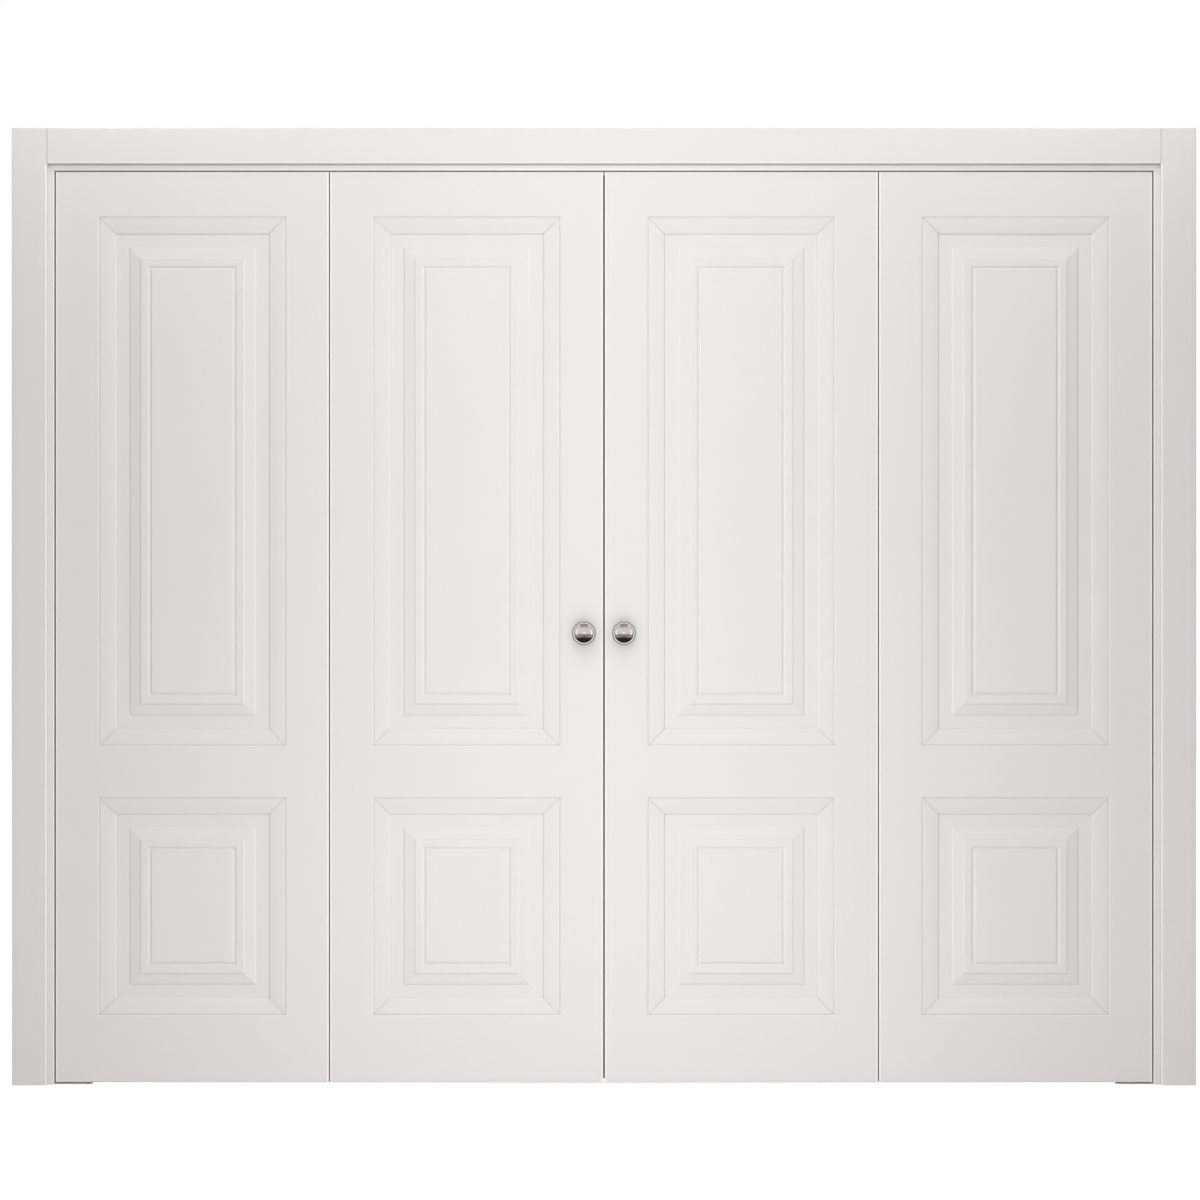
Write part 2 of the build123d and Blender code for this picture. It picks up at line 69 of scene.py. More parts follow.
SIDES = {"left": -1, "right": 1}

# Leaf and frame sizes that the paint's fine lines follow, in metres
PULL_LEAF_X = 0.305
PIVOT_LEAF_X = 0.91375
LEAF_HALF_W = 0.30325
PANEL_HALF_W = 0.2065
LOWER_MIDDLE_Z = 0.3955
LOWER_HALF_H = 0.2405
UPPER_MIDDLE_Z = 1.339
UPPER_HALF_H = 0.586
LOCK_RAIL_Z = 0.6945
OPENING_X = 1.220
OPENING_Z = 2.0285
CASING_INNER_X = 1.234
CASING_UNDER_Z = 2.0425
CASING_OUTER_X = 1.312
CASING_TOP_Z = 2.1205
MOULDING_W = 0.037

# Painted highlights and painted shade round a raised panel: distance in from the opening's edge,
# and strength, above 0 for a painted highlight on a lit edge and below 0 for painted shade in a
# step or quirk
PANEL_PAINTED_LIGHT_LINES = {
    "outer": ((-0.0012, 1.0), (0.0015, -0.38), (0.0355, 0.8), (0.0385, -0.10), (0.0681, -0.36),
              (0.0918, -0.32), (0.1092, 0.7), (0.1153, -0.32)),
    "inner": ((-0.0008, -0.42), (0.0022, 0.5), (0.0356, -0.36), (0.0675, 0.8), (0.0919, 0.8),
              (0.1096, -0.38), (0.1163, 0.8)),
    "top": ((0.0002, -0.22), (0.0372, -0.16), (0.1101, -0.16)),
    "bottom": ((-0.0022, 0.8), (0.0006, -0.32), (0.0345, 0.3), (0.0377, -0.08), (0.0668, -0.38),
               (0.0911, -0.38), (0.1154, -0.34)),
}
PANEL_LINE_HALF = 0.0011
PROFILE_START = -0.008
PROFILE_LENGTH = 0.128

# Fine lines of the other joints, and painted highlights and painted shade at the other edges: half
# width, soft edge, distance in from the edge, and strength
LINE_HALF = 0.0005
LINE_SOFT = 0.0006
MITRE_DARK = 0.42
LEAF_EDGE_IN = 0.0022
LEAF_EDGE_HALF = 0.0012
LEAF_EDGE_HIGHLIGHT = 0.9
BUTT_JOINT_DARK = 0.60
CASING_MARGIN = 0.009
CASING_MARGIN_DARK = 0.05
UNDER_CASING_IN = 0.0012
UNDER_CASING_HALF = 0.0010
UNDER_CASING_SHADOW = 0.50
JAMB_MITRE_DARK = 0.60
CASING_ARRIS_IN = 0.0020
CASING_ARRIS_HALF = 0.0012
CASING_ARRIS_HIGHLIGHT = 1.0
JAMB_ARRIS_IN = 0.0014
JAMB_ARRIS_HALF = 0.0008
JAMB_ARRIS_HIGHLIGHT = 0.8
HEAD_ARRIS_IN = 0.0030
HEAD_ARRIS_HALF = 0.0010
HEAD_ARRIS_HIGHLIGHT = 0.5
HEAD_CASING_ARRIS_IN = 0.0014
HEAD_CASING_ARRIS_HALF = 0.0008
HEAD_CASING_ARRIS_HIGHLIGHT = 0.3
HEAD_STRIP_BELOW = 0.0035
HEAD_STRIP_PAINTED_LIGHT = 0.70

# Paint colours: the paint's own tones, a dark for joints and painted shade, and a bright for
# painted highlights
PAINT_COOL = (0.800, 0.790, 0.792, 1)
PAINT_WARM = (0.818, 0.809, 0.811, 1)
PAINT_JOINT_AND_SHADE = (0.32, 0.30, 0.30, 1)
PAINTED_HIGHLIGHT = (1.0, 0.99, 0.99, 1)
PAINT_RELIEF = 0.00002

# Camera and floor
EYE = (-0.0088, -7.042, 1.0755)
EYE_DISTANCE = 7.0
FRAME_WIDTH = 2.6632
SENSOR_WIDTH = 36.0
FLOOR_HALF = 14.0
FLOOR_Z = -0.0003
FLOOR_GLOW_NEAR = 0.53
FLOOR_GLOW_RISE = 0.13
FLOOR_GLOW = 1.5

# Surroundings: colour, strength for the object, strength in mirrors
ROOM_COLOUR = (1.0, 0.94, 0.94, 1)
ROOM_STRENGTH = 0.34
ROOM_MIRROR_STRENGTH = 0.72

# Soft lights: place, what they aim at, width, height, watts, colour
LIGHTS = {
    "wide_light": ((0, -1.35, 2.0), (0, 0, 1.8), 2.9, 4.2, 20.4, (1.0, 0.99, 0.99)),
    "low_light": ((0, -1.30, 0.15), (0, 0, 0.10), 2.8, 0.4, 4.3, (1.0, 0.99, 0.99)),
    "top_light": ((0, -1.3, 3.6), (0, 0, 2.1), 3.0, 0.8, 6.6, (1.0, 0.99, 0.99)),
    "middle_light": ((0, -1.15, 1.60), (0, 0, 1.5), 0.3, 4.2, 7.4, (0.97, 1.0, 1.0)),
}
PAIRED_LIGHTS = {
    "corner_light": ((1.15, -0.40, 2.50), (1.15, 0, 2.05), 0.9, 0.12, 1.0, (1.0, 0.99, 0.985)),
    "side_light": ((2.2, -1.3, 1.2), (1.3, 0, 1.1), 0.3, 2.4, 2.2, (1.0, 0.985, 0.985)),
}
BACK_LIGHT = ((0, 3.2, 1.9), (0, 0, 1.1), 3.0, 2.4, 60.0, (1.0, 0.97, 0.96))

# Cards that only mirror reflections see: corners, colour
CARDS = {
    "low_card": (((-4, -2.6, 0.01), (4, -2.6, 0.01), (4, -0.8, 0.01), (-4, -0.8, 0.01)),
                 (0.030, 0.022, 0.020, 1)),
    "far_card": (((-0.25, -4.4, 0.01), (0.25, -4.4, 0.01), (1.1, -2.6, 0.01), (-1.1, -2.6, 0.01)),
                 (0.13, 0.10, 0.09, 1)),
    "front_card": (((-0.9, -7.6, 0.5), (0.9, -7.6, 0.5), (0.9, -7.6, 1.7), (-0.9, -7.6, 1.7)),
                   (1.10, 1.08, 1.08, 1)),
    "high_card": (((-0.9, -3.0, 2.35), (0.9, -3.0, 2.35), (1.1, -3.0, 3.9), (-1.1, -3.0, 3.9)),
                  (0.44, 0.34, 0.35, 1)),
}
PAIRED_CARDS = {
    "flank_card": (((1.35, -2.5, 0.6), (1.70, -2.5, 0.6), (1.70, -2.5, 1.7), (1.35, -2.5, 1.7)),
                   (1.15, 1.15, 1.15, 1)),
}


# Shader writing

class Value:
    """A socket that carries one number, with arithmetic that adds the nodes."""

    def __init__(self, graph, socket):
        self.graph = graph
        self.socket = socket

    def _math(self, operation, first, second):
        node = self.graph.node("ShaderNodeMath", {"operation": operation}, {0: first, 1: second})
        return Value(self.graph, node.outputs[0])

    def __add__(self, other):
        return self._math("ADD", self, other)

    def __radd__(self, other):
        return self._math("ADD", other, self)

    def __sub__(self, other):
        return self._math("SUBTRACT", self, other)

    def __rsub__(self, other):
        return self._math("SUBTRACT", other, self)

    def __mul__(self, other):
        return self._math("MULTIPLY", self, other)

    def __rmul__(self, other):
        return self._math("MULTIPLY", other, self)

    def power(self, exponent):
        return self._math("POWER", self, exponent)

    def at_least(self, limit):
        return self._math("MAXIMUM", self, limit)

    def at_most(self, limit):
        return self._math("MINIMUM", self, limit)

    def above(self, limit):
        return self._math("GREATER_THAN", self, limit)

    def smaller(self, other):
        return self._math("MINIMUM", self, other)

    def size(self):
        return self._math("ABSOLUTE", self, 0.0)

    def near(self, centre, half):
        """1 within half of centre, falling to 0 over a soft edge."""
        left = half + LINE_SOFT - (self - centre).size()
        return (left * (1.0 / LINE_SOFT)).at_least(0.0).at_most(1.0)


class Graph:
    """The node tree of one material or of the surroundings."""

    def __init__(self, tree):
        self.tree = tree
        tree.nodes.clear()

    def node(self, kind, settings=None, inputs=None):
        made = self.tree.nodes.new(kind)
        for key, setting in (settings or {}).items():
            setattr(made, key, setting)
        for key, given in (inputs or {}).items():
            socket = made.inputs[key]
            if isinstance(given, Value):
                self.tree.links.new(given.socket, socket)
            elif isinstance(given, bpy.types.NodeSocket):
                self.tree.links.new(given, socket)
            else:
                socket.default_value = given
        return made

    def place(self, stretch=(1, 1, 1)):
        """Object coordinates, squeezed or stretched along the three axes."""
        where = self.node("ShaderNodeTexCoord").outputs["Object"]
        scaled = self.node("ShaderNodeVectorMath", {"operation": "MULTIPLY"},
                           {0: where, 1: stretch})
        return scaled.outputs[0]

    def axes(self):
        """The three object coordinates as values."""
        split = self.node("ShaderNodeSeparateXYZ", None, {0: self.place()})
        return [Value(self, socket) for socket in split.outputs]

    def profile(self, depth, lines):
        """Lines of painted highlight and painted shade at given depths, as two values."""
        along = (depth - PROFILE_START) * (1.0 / PROFILE_LENGTH)
        ramp = self.node("ShaderNodeValToRGB", None, {0: along})
        stops = ramp.color_ramp.elements
        stops[0].color = stops[1].color = (0, 0, 0, 1)
        for where, strength in lines:
            middle = (where - PROFILE_START) / PROFILE_LENGTH
            half = PANEL_LINE_HALF / PROFILE_LENGTH
            stops.new(middle - half).color = (0, 0, 0, 1)
            stops.new(middle).color = (max(strength, 0.0), max(-strength, 0.0), 0, 1)
            stops.new(middle + half).color = (0, 0, 0, 1)
        split = self.node("ShaderNodeSeparateColor", None, {0: ramp.outputs[0]})
        return Value(self, split.outputs[0]), Value(self, split.outputs[1])

    def noise(self, scale, detail, rough, stretch=(1, 1, 1)):
        made = self.node("ShaderNodeTexNoise", {"noise_dimensions": "3D"},
                         {"Vector": self.place(stretch), "Scale": scale, "Detail": detail,
                          "Roughness": rough})
        return Value(self, made.outputs[0])

    def mix(self, factor, first, second):
        """A colour between two colours."""
        made = self.node("ShaderNodeMix", {"data_type": "RGBA"}, {0: factor, 6: first, 7: second})
        return made.outputs[2]

    def bump(self, height, distance, strength):
        made = self.node("ShaderNodeBump", None,
                         {"Strength": strength, "Distance": distance, "Height": height})
        return made.outputs[0]


def material(name):
    made = bpy.data.materials.new(name)
    made.use_nodes = True
    return made, Graph(made.node_tree)


def surface(graph, **inputs):
    """One principled surface, joined to the output."""
    named = {key.replace("_", " "): value for key, value in inputs.items()}
    shader = graph.node("ShaderNodeBsdfPrincipled", None, named)
    graph.node("ShaderNodeOutputMaterial", None, {"Surface": shader.outputs[0]})


# Materials

def paint(name, grain_axis, lines):
    """Satin white paint on wood: a faint drift of tone, fine stipple, and the grain under it.
    lines is a function that says where the paint is darker, in joints and as painted shade in
    quirks and steps, and where it is brighter as a painted highlight on edges."""
    made, graph = material(name)
    drift = graph.noise(2.6, 2.0, 0.55)
    stretch = (1, 1, 0.06) if grain_axis == "Z" else (0.06, 1, 1)
    grain = graph.noise(420.0, 1.0, 0.6, stretch)
    stipple = graph.noise(1600.0, 0.0, 0.5)
    dark, bright = lines(graph)
    even = graph.mix(drift, PAINT_COOL, PAINT_WARM)
    # Darker in joints and painted shade, brighter in painted highlights
    lined = graph.mix(dark.at_most(1.0), even, PAINT_JOINT_AND_SHADE)
    colour = graph.mix(bright.at_most(1.0), lined, PAINTED_HIGHLIGHT)
    relief = stipple * 0.7 + grain * 0.3
    surface(graph, Base_Color=colour, Roughness=0.44 + 0.10 * drift + 0.06 * stipple,
            Specular_IOR_Level=0.42, Normal=graph.bump(relief, PAINT_RELIEF, 0.6))
    return made


def leaf_lines(centre_x):
    """Gives the function for one leaf: painted highlights and painted shade along the panel's
    profile, and the mitres, by distance in from the panel opening, and painted highlights along
    its two upright edges."""
    toward = 1.0 if centre_x < 0 else -1.0

    def lines(graph):
        x, _, z = graph.axes()
        upper = z.above(LOCK_RAIL_Z)
        middle = LOWER_MIDDLE_Z + (UPPER_MIDDLE_Z - LOWER_MIDDLE_Z) * upper
        across = PANEL_HALF_W - (x - centre_x).size()
        along = LOWER_HALF_H + (UPPER_HALF_H - LOWER_HALF_H) * upper - (z - middle).size()
        upright = (along - across).above(0.0)
        inner = (toward * (x - centre_x)).above(0.0)
        over = z.above(middle)
        areas = {"outer": (across, upright * (1 - inner)),
                 "inner": (across, upright * inner),
                 "top": (along, (1 - upright) * over),
                 "bottom": (along, (1 - upright) * (1 - over))}
        inward = across.smaller(along)
        on_moulding = inward.above(0.0) * (MOULDING_W - inward).above(0.0)
        dark = MITRE_DARK * (across - along).near(0.0, LINE_HALF) * on_moulding
        # Painted highlight along the leaf's upright edges
        from_edge = LEAF_HALF_W - (x - centre_x).size()
        bright = LEAF_EDGE_HIGHLIGHT * from_edge.near(LEAF_EDGE_IN, LEAF_EDGE_HALF)
        for edge, (depth, area) in areas.items():
            # Painted highlights and painted shade along the panel's profile
            lit_line, shaded_line = graph.profile(depth, PANEL_PAINTED_LIGHT_LINES[edge])
            bright = bright + lit_line * area
            dark = dark + shaded_line * area
        return dark, bright
    return lines


def frame_lines(graph):
    """Joints and mitres of casings and jambs, a faint darker line along the casings' outer
    margins, painted shadow under the head casing, painted highlights on the eased edges, and
    painted light on the strip under the head casing.
    """
    x, _, z = graph.axes()
    out = x.size()
    over = z.above(CASING_UNDER_Z)
    strip = z.above(OPENING_Z) * (1 - over)
    inside = (CASING_INNER_X - out).above(0.0)
    corner = (out - OPENING_X) - (z - OPENING_Z)
    dark = BUTT_JOINT_DARK * out.near(CASING_INNER_X, LINE_HALF) * over
    dark = dark + CASING_MARGIN_DARK * out.near(CASING_OUTER_X - CASING_MARGIN, LINE_HALF)
    dark = dark + CASING_MARGIN_DARK * z.near(CASING_TOP_Z - CASING_MARGIN, LINE_HALF)
    # Painted shadow that the head casing casts on the strip just under it
    under = z.near(CASING_UNDER_Z - UNDER_CASING_IN, UNDER_CASING_HALF)
    dark = dark + UNDER_CASING_SHADOW * under * inside
    dark = dark + JAMB_MITRE_DARK * corner.near(0.0, LINE_HALF) * strip * inside
    # Painted highlights on the eased edges of casings, jambs and head
    casing_arris = out.near(CASING_INNER_X + CASING_ARRIS_IN, CASING_ARRIS_HALF)
    bright = CASING_ARRIS_HIGHLIGHT * casing_arris * (1 - over)
    jamb_arris = out.near(OPENING_X + JAMB_ARRIS_IN, JAMB_ARRIS_HALF)
    bright = bright + JAMB_ARRIS_HIGHLIGHT * jamb_arris * (1 - z.above(OPENING_Z))
    head_arris = z.near(OPENING_Z + HEAD_ARRIS_IN, HEAD_ARRIS_HALF)
    bright = bright + HEAD_ARRIS_HIGHLIGHT * head_arris * inside
    head_casing_arris = z.near(CASING_UNDER_Z + HEAD_CASING_ARRIS_IN, HEAD_CASING_ARRIS_HALF)
    bright = bright + HEAD_CASING_ARRIS_HIGHLIGHT * head_casing_arris * inside
    # Painted light on the head jamb's strip, lifting the shade under the head casing
    in_strip = (0.0 - corner).above(0.0) * (CASING_UNDER_Z - HEAD_STRIP_BELOW - z).above(0.0)
    bright = bright + HEAD_STRIP_PAINTED_LIGHT * strip * in_strip
    return dark, bright


def brushed_metal(name, dark, bright, stretch, rough, line_scale):
    """Metal with fine parallel lines from rolling or brushing."""
    made, graph = material(name)
    fine = graph.noise(line_scale, 4.0, 0.65, stretch)
    broad = graph.noise(14.0, 3.0, 0.5)
    surface(graph, Base_Color=graph.mix(fine * 0.6 + broad * 0.4, dark, bright), Metallic=1.0,
            Roughness=rough - 0.08 + 0.16 * fine, Normal=graph.bump(fine, 0.00002, 0.5))
    return made


def zinc(name, dark, bright):
    """Zinc-plated steel: soft cloudy spangle with a slightly uneven sheen."""
    made, graph = material(name)
    cloud = graph.noise(190.0, 4.0, 0.6)
    spots = graph.node("ShaderNodeTexVoronoi", {"feature": "F1"},
                       {"Vector": graph.place(), "Scale": 420.0})
    spangle = Value(graph, spots.outputs["Distance"])
    blend = (cloud * 0.7 + spangle * 0.45).at_most(1.0)
    surface(graph, Base_Color=graph.mix(blend, dark, bright), Metallic=1.0,
            Roughness=0.28 + 0.2 * cloud, Normal=graph.bump(cloud, 0.00003, 0.4))
    return made


def nylon(name):
    """Moulded nylon: off-white, waxy, with a very fine moulded texture."""
    made, graph = material(name)
    body = graph.noise(90.0, 2.0, 0.5)
    skin = graph.noise(2400.0, 1.0, 0.5)
    surface(graph, Base_Color=graph.mix(body, (0.70, 0.68, 0.62, 1), (0.80, 0.79, 0.74, 1)),
            Roughness=0.40 + 0.10 * skin, Normal=graph.bump(skin, 0.00001, 0.5))
    return made


def bright_nickel(name):
    """Polished nickel with fine hairlines, painted shade in a fine line where the dome meets the
    rim, and painted shade over the rounded rim.
    """
    made, graph = material(name)
    hairline = graph.noise(900.0, 5.0, 0.7, (1, 1, 0.2))
    polish = graph.noise(60.0, 2.0, 0.5)
    x, _, z = graph.axes()
    across = x.size() - KNOB_X
    up = z - KNOB_Z
    radius = (across * across + up * up).power(0.5)
    # Painted shade: darker colour over the rounded rim and in a line round the dome
    edge = radius.above(KNOB_BRIGHT_R)
    crease_shade = radius.near(KNOB_FACE_R, 0.0006)
    metal = graph.mix(polish, (0.80, 0.77, 0.76, 1), (0.90, 0.88, 0.87, 1))
    rim_and_crease_shade = (edge * 0.8 + crease_shade * 0.7).at_most(1.0)
    surface(graph, Base_Color=graph.mix(rim_and_crease_shade, metal, (0.22, 0.20, 0.20, 1)), Metallic=1.0,
            Roughness=0.05 + 0.05 * hairline + 0.03 * polish + 0.25 * edge,
            Normal=graph.bump(polish, 0.0002, 0.15))
    return made


def bracket_coat(name):
    """Pale coated steel with a slightly uneven skin."""
    made, graph = material(name)
    cloud = graph.noise(220.0, 3.0, 0.6)
    surface(graph, Base_Color=graph.mix(cloud, (0.74, 0.73, 0.72, 1), (0.84, 0.83, 0.82, 1)),
            Metallic=0.2, Roughness=0.45 + 0.1 * cloud, Normal=graph.bump(cloud, 0.00002, 0.4))
    return made


def dress(nodes, finish):
    """Gives CAD nodes their material through their own slots."""
    for node in nodes:
        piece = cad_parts[node]
        if not piece.material_slots:
            piece.data.materials.append(finish)
        for place in piece.material_slots:
            place.material = finish


UPRIGHT_PARTS = ("stiles", "lower_panel", "upper_panel", "mouldings")
LEVEL_PARTS = ("bottom_rail", "lock_rail", "top_rail")

frame_paint_upright = paint("frame_paint_upright", "Z", frame_lines)
frame_paint_level = paint("frame_paint_level", "X", frame_lines)
extruded_aluminium = brushed_metal("extruded_aluminium", (0.60, 0.61, 0.62, 1),
                                   (0.78, 0.79, 0.80, 1), (0.02, 1, 1), 0.36, 1200.0)
hinge_steel = brushed_metal("hinge_steel", (0.46, 0.46, 0.45, 1), (0.66, 0.66, 0.65, 1),
                            (1, 1, 0.03), 0.34, 1500.0)
plated_steel = zinc("plated_steel", (0.50, 0.50, 0.47, 1), (0.74, 0.74, 0.72, 1))
screw_steel = zinc("screw_steel", (0.42, 0.42, 0.40, 1), (0.70, 0.70, 0.69, 1))
wheel_nylon = nylon("wheel_nylon")
knob_nickel = bright_nickel("knob_nickel")
bracket_finish = bracket_coat("bracket_coat")

for side, sign in SIDES.items():
    for leaf, middle_x in (("pivot_leaf", PIVOT_LEAF_X), ("pull_leaf", PULL_LEAF_X)):
        name = f"{leaf}_{side}"
        lines = leaf_lines(sign * middle_x)
        dress([f"{name}_{part}" for part in UPRIGHT_PARTS],
              paint(f"{name}_paint_upright", "Z", lines))
        dress([f"{name}_{part}" for part in LEVEL_PARTS],
              paint(f"{name}_paint_level", "X", lines))
dress(["left_jamb", "right_jamb", "left_casing", "right_casing"], frame_paint_upright)
dress(["head_jamb", "head_casing"], frame_paint_level)
dress(["track"], extruded_aluminium)
for side in SIDES:
    dress([f"pivot_leaf_hinge_plates_{side}", f"pull_leaf_hinge_plates_{side}"], hinge_steel)
    dress([f"top_pivot_block_{side}", f"top_pivot_{side}", f"bottom_pivot_{side}",
           f"guide_pin_{side}", f"aligner_{side}"], plated_steel)
    dress([f"floor_bracket_{side}"], bracket_finish)
    dress([f"guide_wheel_{side}"], wheel_nylon)
    dress([f"knob_{side}"], knob_nickel)


# Screws, by geometry nodes

SCREW_INPUTS = (("Head radius", 0.0036), ("Head height", 0.0012), ("Recess span", 0.0042),
                ("Recess width", 0.0009), ("Recess depth", 0.0009), ("Washer radius", 0.0),
                ("Washer height", 0.0008))
SEED_INPUT = "Spin seed"
RECESS_CUTTER_H = 0.003


def link(tree, source, target):
    tree.links.new(source, target)


def screw_tree():
    """Domed heads with a crossed recess, one on each vertex, facing along its own direction."""
    tree = bpy.data.node_groups.new("screw_heads", "GeometryNodeTree")
    inside = tree.interface
    inside.new_socket("Places", in_out="INPUT", socket_type="NodeSocketGeometry")
    for name, size in SCREW_INPUTS:
        inside.new_socket(name, in_out="INPUT", socket_type="NodeSocketFloat").default_value = size
    inside.new_socket(SEED_INPUT, in_out="INPUT", socket_type="NodeSocketInt").default_value = 7
    inside.new_socket("Finish", in_out="INPUT", socket_type="NodeSocketMaterial")
    inside.new_socket("Screws", in_out="OUTPUT", socket_type="NodeSocketGeometry")

    def add(kind, settings=None, inputs=None):
        made = tree.nodes.new(kind)
        for key, setting in (settings or {}).items():
            setattr(made, key, setting)
        for key, given in (inputs or {}).items():
            if isinstance(given, bpy.types.NodeSocket):
                link(tree, given, made.inputs[key])
            else:
                made.inputs[key].default_value = given
        return made

    given = add("NodeGroupInput").outputs
    ball = add("GeometryNodeMeshUVSphere", None, {"Segments": 28, "Rings": 10, "Radius": 1.0})
    smooth = add("GeometryNodeSetShadeSmooth", None, {"Geometry": ball.outputs["Mesh"]})
    dome_size = add("ShaderNodeCombineXYZ", None,
                    {0: given["Head radius"], 1: given["Head radius"], 2: given["Head height"]})
    dome = add("GeometryNodeTransform", None,
               {"Geometry": smooth.outputs[0], "Scale": dome_size.outputs[0]})
    lift = add("ShaderNodeMath", {"operation": "SUBTRACT"},
               {0: given["Head height"], 1: given["Recess depth"]})
    half_up = add("ShaderNodeMath", {"operation": "ADD"},
                  {0: lift.outputs[0], 1: RECESS_CUTTER_H / 2})
    centre = add("ShaderNodeCombineXYZ", None, {2: half_up.outputs[0]})
    first = add("ShaderNodeCombineXYZ", None,
                {0: given["Recess span"], 1: given["Recess width"], 2: RECESS_CUTTER_H})
    second = add("ShaderNodeCombineXYZ", None,
                 {0: given["Recess width"], 1: given["Recess span"], 2: RECESS_CUTTER_H})
    cutters = []
    for size in (first, second):
        bar = add("GeometryNodeMeshCube", None, {"Size": size.outputs[0]})
        moved = add("GeometryNodeTransform", None,
                    {"Geometry": bar.outputs["Mesh"], "Translation": centre.outputs[0]})
        cutters.append(moved)
    cut = add("GeometryNodeMeshBoolean", {"operation": "DIFFERENCE"}, {0: dome.outputs[0]})
    for cutter in cutters:
        link(tree, cutter.outputs[0], cut.inputs[1])
    washer = add("GeometryNodeMeshCylinder", None,
                 {"Vertices": 32, "Radius": given["Washer radius"],
                  "Depth": given["Washer height"]})
    both = add("GeometryNodeJoinGeometry")
    link(tree, cut.outputs[0], both.inputs[0])
    link(tree, washer.outputs["Mesh"], both.inputs[0])
    facing = add("GeometryNodeInputNamedAttribute", {"data_type": "FLOAT_VECTOR"},
                 {"Name": "facing"})
    turned = add("FunctionNodeAlignRotationToVector", {"axis": "Z"},
                 {"Vector": facing.outputs["Attribute"]})
    spin = add("FunctionNodeRandomValue", {"data_type": "FLOAT"},
               {"Seed": given[SEED_INPUT]})
    spin.inputs[2].default_value = 0.0
    spin.inputs[3].default_value = math.tau
    spin_turn = add("ShaderNodeCombineXYZ", None, {2: spin.outputs[1]})
    as_turn = add("FunctionNodeEulerToRotation", None, {0: spin_turn.outputs[0]})
    full_turn = add("FunctionNodeRotateRotation", {"rotation_space": "LOCAL"},
                    {0: turned.outputs[0], 1: as_turn.outputs[0]})
    placed = add("GeometryNodeInstanceOnPoints", None,
                 {"Points": given["Places"], "Instance": both.outputs[0],
                  "Rotation": full_turn.outputs[0]})
    real = add("GeometryNodeRealizeInstances", None, {0: placed.outputs[0]})
    dressed = add("GeometryNodeSetMaterial", None,
                  {"Geometry": real.outputs[0], "Material": given["Finish"]})
    add("NodeGroupOutput", None, {0: dressed.outputs[0]})
    return tree


SCREW_TREE = screw_tree()


def screws(name, body, slot, places, facing, seed, finish, **sizes):
    """One piece of screw heads: places are points on the surface under the heads."""
    mesh = bpy.data.meshes.new(name)
    mesh.from_pydata([tuple(p) for p in places], [], [])
    direction = mesh.attributes.new("facing", "FLOAT_VECTOR", "POINT")
    for item in direction.data:
        item.vector = facing
    piece = bpy.data.objects.new(name, mesh)
    bpy.context.scene.collection.objects.link(piece)
    modifier = piece.modifiers.new("screw_heads", "NODES")
    modifier.node_group = SCREW_TREE
    wanted = dict(SCREW_INPUTS)
    wanted.update({key.replace("_", " "): size for key, size in sizes.items()})
    wanted[SEED_INPUT] = seed
    wanted["Finish"] = finish
    for item in SCREW_TREE.interface.items_tree:
        if item.in_out == "INPUT" and item.name in wanted:
            modifier[item.identifier] = wanted[item.name]
    bpy.context.view_layer.update()
    shaped = piece.evaluated_get(bpy.context.evaluated_depsgraph_get())
    piece.data = bpy.data.meshes.new_from_object(shaped)
    piece.modifiers.clear()
    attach(piece, body)


def hinge_screw_places(toward, side):
    """Three screws in each plate, the middle one further from the pin."""
    axis = side * HINGE_AXIS_X
    places = []
    for height in HINGE_HEIGHTS:
        for rise, reach in ((-HINGE_SCREW_RISE, HINGE_SCREW_IN), (0.0, HINGE_SCREW_OUT),
                            (HINGE_SCREW_RISE, HINGE_SCREW_IN)):
            places.append((axis + toward * reach, PLATE_BACK_Y, height + rise))
    return places


def aligner_screw_places(side):
    """Two screws, one over the other, near the outer end of the aligner's plate."""
    low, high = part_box(f"aligner_{side}")
    outward = SIDES[side]
    foot = high.x if outward > 0 else low.x
    middle = (low.z + high.z) / 2
    return [(foot - outward * ALIGNER_SCREW_IN, LEAF_BACK_Y + ALIGNER_PLATE_T, middle + rise)
            for rise in (-ALIGNER_SCREW_RISE, ALIGNER_SCREW_RISE)]


for name, side in SIDES.items():
    screws(f"hinge_screws_pivot_leaf_{name}", f"pivot_leaf_{name}", "hinge_steel",
           hinge_screw_places(side, side), (0, 1, 0), 11, screw_steel)
    screws(f"hinge_screws_pull_leaf_{name}", f"pull_leaf_{name}", "hinge_steel",
           hinge_screw_places(-side, side), (0, 1, 0), 12, screw_steel)
    screws(f"aligner_screws_{name}", f"pull_leaf_{name}", "pivot_steel",
           aligner_screw_places(name), (0, 1, 0), 13, screw_steel, Head_radius=0.0034)
    screws(f"knob_screw_{name}", f"pull_leaf_{name}", "pivot_steel",
           [(side * KNOB_X, LEAF_BACK_Y, KNOB_Z)], (0, 1, 0), 14, screw_steel,
           Head_radius=0.0046, Head_height=0.0030, Recess_span=0.0052, Recess_width=0.0011,
           Recess_depth=0.0018, Washer_radius=0.0085, Washer_height=0.0020)
    screws(f"floor_screws_{name}", "frame", "pivot_steel",
           [(side * PIVOT_X - FLOOR_SCREW_HALF, LEAF_MID_Y, FLOOR_PLATE_TOP),
            (side * PIVOT_X + FLOOR_SCREW_HALF, LEAF_MID_Y, FLOOR_PLATE_TOP)],
           (0, 0, 1), 15, screw_steel, Head_radius=0.0044, Head_height=0.0015,
           Recess_span=0.0050)
    screws(f"clamp_screw_{name}", "frame", "pivot_steel",
           [(side * CLAMP_SCREW_X, LEAF_MID_Y, CLAMP_SCREW_Z)], (0, 0, -1), 16, screw_steel,
           Head_radius=0.0038, Head_height=0.0010)
